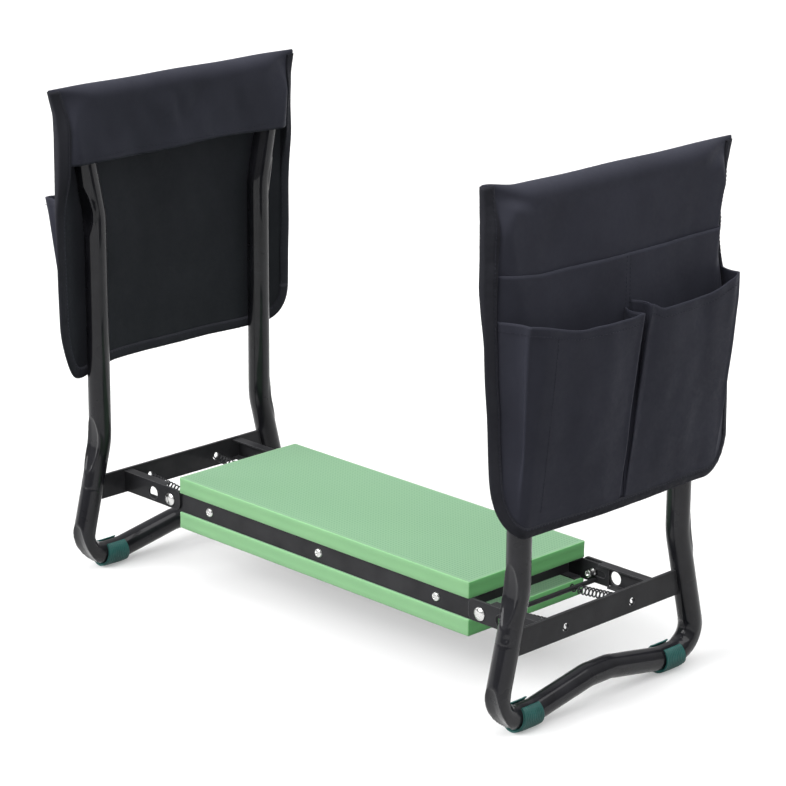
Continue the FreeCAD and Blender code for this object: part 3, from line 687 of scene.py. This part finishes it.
class Pouch:
    """One tool pouch. Cloth places are given flat, as (y, level), and place() puts them in the air."""

    half = 150.5
    front_round, rear_round = (38.0, 62.0), (32.0, 36.0)
    flare_levels = (215.0, 295.0, 405.0, 440.0, 462.0, RIDGE)
    flat_gap, tube_gap = 1.35, 10.75

    def __init__(self, name, side):
        self.name, self.side, self.body = name, side, f"{name}_leg"
        right = side > 0
        self.shift, self.seed = (4.0, 0.0) if right else (0.0, 2.1)
        self.bottom = 183.0 if right else 206.0
        self.droop, self.rear_curl = (0.0, 0.12) if right else (14.0, 0.9)
        self.pull, self.raised, self.ear = (2.5, 5.0, 5.5) if right else (0.0, 0.0, 0.0)
        self.flare_front = (-4.0, -1.0, -1.0, -1.0, 0.0, 6.0)
        self.flare_rear = (-4.0, -3.0, -3.0, -3.0, -2.0, 2.0)
        if right:
            self.flare_front = (-4.0, 0.0, 7.0, 8.0, 7.5, 8.5)
            self.flare_rear = (0.0, -4.0, -10.0, -6.5, -1.5, 6.0)

    def ripple(self, y, z):
        """Broad soft waves of cloth under light tension, in millimetres."""
        k = self.seed
        waves = 0.75 * np.sin(y / 23.0 + 1.1 + k) * np.sin(z / 57.0 + 0.4 + k)
        waves += 0.5 * np.sin((y + 0.55 * z) / 17.0 + 2.0 + k)
        waves += 0.3 * np.sin((y - 0.8 * z) / 11.0 + 0.7 - k) * np.sin(z / 31.0 + k)
        return waves + 0.12 * np.sin(y / 4.3 + 3 * np.sin(z / 29.0))

    def tube_reach(self, z):
        """How far out the handle reaches at a height; its top corners are round."""
        corner = 445.0
        bend = np.clip((z - corner) / 39.0, 0, 1) ** 2
        return upright_y(np.minimum(z, corner)) + TUBE_R - (upright_y(corner) + TUBE_R - 104.0) * bend

    def fullness(self, y, z, curl=1.0):
        """1 where the cloth is held a tube's radius from the leg's plane, falling to 0 at its side edges."""
        start = self.tube_reach(z) + 1.0
        fall = eased((np.abs(y) - start) / (self.half - start))
        return 1 - fall * curl

    def hitch(self, y, z):
        """How far the joined side edges are pulled towards the seat."""
        return self.pull * eased((z - 230.0) / 170.0) * (1 - self.fullness(y, z))

    def near_upright(self, y, z):
        """1 on an upright's middle line, where it holds the cloth flat."""
        return np.exp(-((np.abs(y) - upright_y(z)) / 15.0) ** 2)

    def outer(self, y, z):
        """Distance of the outer panel from the leg's plane."""
        y, z = np.broadcast_arrays(y, z)
        low = eased((405.0 - z) / 60.0)
        full = self.fullness(y, z, np.where(y > 0, 1 - low * (1 - self.rear_curl), 1.0))
        slack = eased((92.0 - np.abs(y)) / 60.0) * eased((478.0 - z) / 60.0)
        fade = eased((484.0 - z) / 30.0)
        waves = (self.ripple(y, z) * (1 - self.near_upright(y, z)) + 0.25) * fade
        return self.flat_gap + self.tube_gap * full - self.hitch(y, z) + 3.2 * slack + waves

    def inner(self, y, z):
        """Distance of the flap from the leg's plane, on the inner side."""
        fade = eased((482.0 - z) / 22.0)
        hang = eased((100.0 - np.abs(y)) / 50.0) * eased((470.0 - z) / 50.0)
        waves = 2.4 * self.ripple(y * 0.8, z + 90.0) * (1 - 0.8 * self.near_upright(y, z)) + 0.8
        creases = [(-12.0, 0.15, 6.0, 2.6), (22.0, -0.35, 9.0, 2.0)]
        creases += [(-58.0, 0.3, 10.0, 1.6), (64.0, 0.1, 8.0, 1.4)]
        for centre, lean, width, depth in creases:
            away = (y - centre - lean * (480.0 - z)) / width
            waves = waves - depth * np.exp(-away ** 2) * eased((z - 418.0) / 45.0)
        held = self.flat_gap + self.tube_gap * self.fullness(y, z) + self.hitch(y, z)
        return held - 1.5 * hang + waves * fade

    def flare(self, y, z):
        """How much wider the cloth is near its side edges at a height; its top corners stick out as ears."""
        y, z = np.broadcast_arrays(y, z)
        total = np.zeros(y.shape)
        for sign, table in ((-1, self.flare_front), (1, self.flare_rear)):
            wider = np.interp(z, self.flare_levels, table)
            total += sign * wider * eased((sign * y - 112.0) / 38.0)
        return total

    def half_width(self, z, rear):
        """Half the panel's width at a height: it narrows round its bottom corners."""
        across, down = self.rear_round if rear else self.front_round
        drop = np.clip((self.bottom + down - z) / down, 0, 1)
        return self.half - across * (1 - np.sqrt(1 - drop ** 2))

    def limits(self, columns, z):
        """The panel's front or rear half width for each column, which runs from -1 to 1."""
        return np.where(columns > 0, self.half_width(z, True), self.half_width(z, False))

    def sink(self, y, z):
        """How far the front edge droops at its bottom corner, less how far it is held up near the top."""
        low = eased((-y - 70.0) / 70.0) * eased((self.bottom + 150.0 - z) / 150.0)
        high = eased((-y - 100.0) / 48.0) * eased((z - 330.0) / 80.0)
        high = high * eased((482.0 - z) / 30.0)
        return self.droop * low - self.raised * high

    def spot(self, reach, y, z, moved=0.0):
        """Points that far out from the leg's plane, over flat places moved along Y."""
        across = y + moved + self.shift + self.flare(y, z)
        return np.stack(np.broadcast_arrays(self.side * (LEG_X + reach), across, z), -1)

    def place(self, y, z, offset=0.0):
        """A flat place on the outer panel, put where it hangs; offset is outward."""
        y, z = np.broadcast_arrays(y, z)
        slope = self.outer(y + 0.5, z) - self.outer(y - 0.5, z)
        tilt = offset / np.sqrt(1 + slope ** 2)
        points = self.spot(self.outer(y, z) + tilt, y, z, -slope * tilt)
        points[..., 2] -= self.sink(y, z)
        return points

    def ridge(self, y):
        """Height of the fold over the handle; its front end can stand up as a small ear."""
        lift = np.where(y < 0, self.ear, 0.0)
        return RIDGE + lift * eased((np.abs(y) - 118.0) / 32.0) - 0.6 * np.sin(y / 37.0) ** 2

    def sheet(self, name, rows):
        points, faces = cloth_shell(np.array(rows), CLOTH)
        return piece(f"{self.name}_{name}", points, faces, "cloth", self.body)

    def make_cover(self):
        """One piece of cloth: flap hem, up inside the handle, over it, and down to the pouch's bottom."""
        columns = np.linspace(-1, 1, 133)
        flat_y = columns * self.half
        top = self.ridge(flat_y)
        full = self.fullness(flat_y, 484.0)
        rise = 2.5 + 9.6 * full
        width = self.flat_gap + self.tube_gap * full
        pulled = self.hitch(flat_y, 484.0)
        rows = []
        hem_wave = 1.2 * np.sin(flat_y / 26.0) + 0.8 * np.sin(flat_y / 61.0 + 1)
        for share in np.linspace(0, 1, 26):
            z = (FLAP_HEM + hem_wave) * (1 - share) + (top - rise) * share
            reach = self.inner(flat_y, z) * (1 - share ** 3) + (width + pulled) * share ** 3
            rows.append(self.spot(-reach, flat_y, z))
        for angle in np.linspace(0, math.pi, 13)[1:-1]:
            z = top - rise + rise * math.sin(angle)
            rows.append(self.spot(-pulled - width * math.cos(angle), flat_y, z))
        for share in np.linspace(0, 1, 116):
            z = (top - rise) * (1 - share) + (self.bottom + 0.5) * share
            points = self.place(columns * self.limits(columns, z), z)
            blend = eased(1 - share * 20)
            points[:, 0] = points[:, 0] * (1 - blend) + self.side * (LEG_X - pulled + width) * blend
            rows.append(points)
        cover = self.sheet("cover", rows)
        # The cover's side facing the seat takes the darker cloth: painted shade on the inside of the pouch.
        cover.data.materials.append(MATERIALS["painted_shade_cloth"])
        side_faces = (len(rows) - 1) * (len(columns) - 1)
        for index in range(side_faces) if self.side > 0 else range(side_faces, 2 * side_faces):
            cover.data.polygons[index].material_index = 1
        return cover

    def make_slim(self):
        """A flat pocket across the panel, its top hem open either side of the middle stitching."""
        columns = np.linspace(-1, 1, 121)
        rows = []
        for share in np.linspace(0, 1, 70):
            z = SLIM_HEM * (1 - share) + (self.bottom + 9.0) * share
            limit = self.limits(columns, z) - 9.0
            belly = np.abs(np.sin(math.pi * columns)) ** 0.7 * max(0.0, 1 - share * 3.0)
            rows.append(self.place(columns * np.minimum(limit, 143.5), z, 1.5 + 1.6 * belly))
        return self.sheet("slim", rows)

    def bag_mouth(self, share, end):
        """Height of a bellows pocket's front edge: it sags from its outer fold and rises at its inner one."""
        u, rise = (share, 0.1) if end < 0 else (1 - share, 0.65)
        return 373.5 - 10.5 * eased(u / 0.48) * (1 - rise * eased((u - 0.86) / 0.14))

    def bag_section(self, v, end):
        """A bellows pocket at level v, 0 at its foot: (y, depth, share of the front) from seam to seam."""
        near, far = -142.5, -3.0
        fold_near, fold_far = -134.0 + 7.0 * (1 - v), -5.0 + 1.5 * (1 - v)
        if end > 0:
            near, far = 3.0, 144.5
            fold_near, fold_far = 5.0 - 1.5 * (1 - v), 138.0 - 8.0 * (1 - v)
        deep_near, deep_far = (22.5, 23.5) if end < 0 else (22.0, 22.5)
        if self.side < 0 and end < 0:
            deep_near = 28.5
        swell = v ** 0.92
        depth_near, depth_far = (0.8 + (deep - 0.8) * swell for deep in (deep_near, deep_far))
        first = [(near, 0.6, 0.0)]
        for share in (0.12, 0.25, 0.4, 0.55, 0.7, 0.84, 0.95):
            tuck = (8.0 - 4.5 * v ** 4) * math.sin(math.pi * share) * min(1.0, 3 * v)
            first.append((near + (fold_near - near) * share + tuck, 0.6 + (depth_near - 0.6) * share, 0.0))
        front = []
        for share in (0.004, 0.012, 0.03, *np.linspace(0.06, 0.94, 45), 0.97, 0.988, 0.996):
            bow = math.sin(math.pi * share)
            depth = depth_near + (depth_far - depth_near) * share + (2.6 * v + 0.2) * bow
            depth += 1.1 * math.exp(-((min(share, 1 - share) / 0.016) ** 2)) * min(1.0, 3 * v)
            depth += (0.7 * math.sin(share * 9.0 + 1.0) + 0.35 * math.sin(share * 23.0 + v * 5.0)) * v * bow
            front.append((fold_near + (fold_far - fold_near) * share, depth, share))
        last = []
        for share in (0.05, 0.16, 0.3, 0.45, 0.6, 0.75, 0.88, 1.0):
            tuck = 4.4 * math.sin(math.pi * share) * v
            depth = depth_far + (0.6 - depth_far) * share
            last.append((fold_far + (far - fold_far) * share - tuck, depth, 1.0))
        return first + front + last

    def bag_points(self, v, end, lift=0.0):
        """World points of one level of a bellows pocket; lift moves them outward."""
        y, depth, share = np.array(self.bag_section(v, end)).T
        foot = self.foot_level(y)
        top = np.array([self.bag_mouth(item, end) for item in share])
        z = foot + (top - foot) * v
        points = self.spot(self.outer(y, z) + 2.2 + depth + lift, y, z)
        points[:, 2] -= self.sink(y, z)
        return points

    def foot_level(self, y):
        """Height of the bellows pockets' foot, tucked under the binding, below a place on the panel."""
        rear = y > 0
        across = np.where(rear, self.rear_round[0], self.front_round[0])
        down = np.where(rear, self.rear_round[1], self.front_round[1])
        over = np.clip((np.abs(y) - (self.half - across)) / (across - 7.5), 0, 0.96)
        return self.bottom + down - (down - 7.5) * np.sqrt(1 - over ** 2)

    def make_bag(self, end_name, end):
        return self.sheet(f"{end_name}_bag", [self.bag_points(v, end) for v in np.linspace(1.0, 0.0, 74)])

    def edge_line(self, inset):
        """The panel's outline, drawn inset from its edge: down the front, along the bottom, up the rear."""
        near, step = self.half - inset, 3.0
        top_front, top_rear = self.ridge(-self.half) - 1.2, self.ridge(self.half) - 1.2
        points = [(-near, z) for z in np.arange(top_front, self.bottom + self.front_round[1], -step)]
        for sign, (across, down), first in ((-1, self.front_round, 1.0), (1, self.rear_round, 1.5)):
            centre_y, centre_z = sign * (self.half - across), self.bottom + down
            for angle in np.linspace(first * math.pi, (first + 0.5) * math.pi, 22):
                y = centre_y + (across - inset) * math.cos(angle)
                points.append((y, centre_z + (down - inset) * math.sin(angle)))
            if sign < 0:
                bottom = np.arange(centre_y + step, self.half - self.rear_round[0], step)
                points.extend((y, self.bottom + inset) for y in bottom)
        points.extend((near, z) for z in np.arange(self.bottom + self.rear_round[1], top_rear, step))
        return np.array(points)

    def tape_puff(self, line, inset):
        """Extra height of the tape's inner edge where it runs over the pockets' cloth."""
        return 2.1 * eased((inset - 1.0) / 5.0) * eased((425.0 - line[:, 1]) / 14.0)

    def behind_flap(self, line, ring, offset):
        """Moves a ring drawn inside the panel on to the inside of the flap, where there is one."""
        y, z = line.T
        share = eased((z - 350.0) / 60.0)[:, None]
        return ring * (1 - share) + self.spot(offset - self.inner(y, z), y, z) * share

    def make_binding(self):
        """Tape folded over the edge: its section wraps from the outer face round to the inner one."""
        section = [(9.2, 1.0), (9.3, 1.9), (6.0, 2.4), (2.5, 2.3), (0.2, 1.9), (-1.1, 0.9), (-1.3, 0.0)]
        section += [(-1.1, -0.9), (0.2, -1.6), (2.5, -1.9), (6.0, -1.9), (9.3, -1.6), (9.2, -0.7)]
        rings = []
        for inset, offset in section:
            line = self.edge_line(inset)
            height = offset + 0.16 * np.sin(np.arange(len(line)) * 1.9) * (0 < inset < 9)
            ring = self.place(*line.T, height + self.tape_puff(line, inset) * (offset > 0.5))
            rings.append(ring if offset > 0.5 else self.behind_flap(line, ring, offset))
        grid = np.array(rings)
        rows, columns = grid.shape[:2]
        faces = strip_faces(rows, columns, closed_rows=True)
        for column in (0, columns - 1):
            faces.append(tuple(row * columns + column for row in range(rows)))
        tape = piece(f"{self.name}_tape", grid.reshape(-1, 3), faces, "binding", self.body)
        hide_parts(f"{self.name}_pouch_binding")
        return tape

    def make_stitches(self):
        """Sewn thread: short bars that dip into the cloth at both ends."""
        outward = np.array([self.side, 0.0, 0.0])
        inset, length, gap, thread = 7.6, 2.7, 1.0, 0.26
        rim = self.edge_line(inset)
        lines = [(self.place(*rim.T, 2.45 + self.tape_puff(rim, inset)), outward)]
        lines.append((self.behind_flap(rim, self.place(*rim.T, -2.0), -2.0), -outward))
        lines += [(self.place(y, np.linspace(410.0, 340.0, 30), 2.15), outward) for y in (-2.4, 2.4)]
        flap_y, flap_seam = np.linspace(-self.half + 4, self.half - 4, 140), 418.0
        lines.append((self.spot(-self.inner(flap_y, flap_seam) - 0.65, flap_y, flap_seam), -outward))
        for end in ENDS.values():
            lines.append((self.bag_points(1.0, end, 0.62) - (0, 0, 8.0), outward))
            if end < 0:
                column = 18
                down = [self.bag_points(v, end, 0.62)[column] for v in np.linspace(0.95, 0.06, 60)]
                lines.append((np.array(down), outward))
        parts = []
        for line, away in lines:
            travel, here = travelled(line), 0.5
            while here + length < travel[-1]:
                spots = np.linspace(here, here + length, 5)
                run = np.stack([np.interp(spots, travel, line[:, axis]) for axis in range(3)], -1)
                parts.append(wire_mesh(run + np.outer([-0.35, 0.12, 0.2, 0.12, -0.35], away), thread, 6))
                here += length + gap
        points, faces = merged(parts)
        return piece(f"{self.name}_stitches", points, faces, "thread", self.body)

    def make(self):
        cover = self.make_cover()
        slim = self.make_slim()
        bags = [self.make_bag(end_name, end) for end_name, end in ENDS.items()]
        tape = self.make_binding()
        stitches = self.make_stitches()
        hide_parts(f"{self.name}_pouch_panel", f"{self.name}_pouch_flap")
        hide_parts(f"{self.name}_slim_pocket")
        for end_name, bag in zip(ENDS, bags):
            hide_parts(f"{self.name}_{end_name}_pocket")


# ------------ the object

CARRIED = {"board": ["seat_board"], "steel": ["front_rail", "rear_rail"]}
STEEL_PARTS = ("end_bar", "anchor_rod", "crossbar", "front_arm", "rear_arm")
CARRIED["steel"] += [f"{side_name}_{part}" for side_name in SIDES for part in STEEL_PARTS]
for finish, names in CARRIED.items():
    for node_name in names:
        mesh = NODES[node_name].data
        mesh.materials.clear()
        mesh.materials.append(MATERIALS[finish])

upper = make_pad("upper_foam", 98.5, 0.5)
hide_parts("upper_pad")
lower = make_pad("lower_foam", 63.0, -0.5)
lower.visible_diffuse = False  # it throws no green glow on to the floor
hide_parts("lower_pad")
make_screws()
for side_name, side_sign in SIDES.items():
    make_tubes(side_name, side_sign)
    for end_label, end_sign in ENDS.items():
        make_clip(side_name, side_sign, end_label, end_sign)
    make_rivets(side_name, side_sign)
    make_springs(side_name, side_sign)
    Pouch(side_name, side_sign).make()

# ------------ floor, light and camera


def make_floor():
    size, count = 14.0, 8
    steps = np.linspace(-size, size, count)
    points = [(x, y, 0.0) for y in steps for x in steps]
    mesh = bpy.data.meshes.new("floor")
    mesh.from_pydata(points, [], strip_faces(count, count))
    mesh.update()
    shader = Shader("floor", (0.94, 0.94, 0.94), 0.85)
    shader.set("Specular IOR Level", 0.15)
    mesh.materials.append(shader.material)
    floor = bpy.data.objects.new("floor", mesh)
    floor.visible_diffuse = False
    bpy.context.scene.collection.objects.link(floor)


def make_light(name, kind, place, target, energy, size, shadow=True):
    data = bpy.data.lights.new(name, kind)
    data.energy = energy
    data.use_shadow = shadow
    if kind == "SUN":
        data.angle = math.radians(size)
    else:
        data.shape = "RECTANGLE"
        data.size, data.size_y = size
    lamp = bpy.data.objects.new(name, data)
    lamp.location = place
    lamp.rotation_euler = (Vector(target) - Vector(place)).to_track_quat("-Z", "Y").to_euler()
    bpy.context.scene.collection.objects.link(lamp)


def make_world():
    """Pale light all round, brighter from above."""
    world = bpy.data.worlds.new("studio")
    world.use_nodes = True
    background = world.node_tree.nodes["Background"]
    background.inputs["Color"].default_value = (1.0, 1.0, 1.0, 1.0)
    nodes, link = world.node_tree.nodes, world.node_tree.links.new
    kinds = ("TexCoord", "SeparateXYZ", "MapRange")
    direction, split, fade = (nodes.new("ShaderNode" + kind) for kind in kinds)
    for socket, number in zip((1, 2, 3, 4), (-0.2, 0.5, 0.05, 0.54)):
        fade.inputs[socket].default_value = number
    link(direction.outputs["Generated"], split.inputs[0])
    link(split.outputs["Z"], fade.inputs[0])
    link(fade.outputs[0], background.inputs["Strength"])
    bpy.context.scene.world = world


def make_camera():
    """The camera, turned a touch about its own axis."""
    place = Vector((1.8408, -1.8068, 1.0270))
    forward = (Vector((0.0214, 0.0, 0.2251)) - place).normalized()
    right = forward.cross(Vector((0, 0, 1))).normalized()
    up = right.cross(forward)
    roll = math.radians(0.41)
    turned_right = right * math.cos(roll) + up * math.sin(roll)
    turned_up = up * math.cos(roll) - right * math.sin(roll)
    data = bpy.data.cameras.new("camera")
    data.lens = 132.87
    data.sensor_width = 36.0
    data.clip_end = 60.0
    camera = bpy.data.objects.new("camera", data)
    bpy.context.scene.collection.objects.link(camera)
    axes = Matrix((turned_right, turned_up, -forward)).transposed()
    camera.matrix_world = Matrix.Translation(place) @ axes.to_4x4()
    bpy.context.scene.camera = camera


make_floor()
make_world()
make_light("key", "SUN", (-0.9, -3.0, 2.0), (0, 0, 0), 2.25, 40)
make_light("overhead", "SUN", (1.3, -0.1, 4.0), (0, 0, 0), 1.9, 60, False)
make_light("strip", "AREA", (-2.6, -1.0, 1.3), (0, 0, 0.25), 9, (0.1, 2.0))
make_camera()
bpy.context.scene.view_settings.view_transform = "Standard"
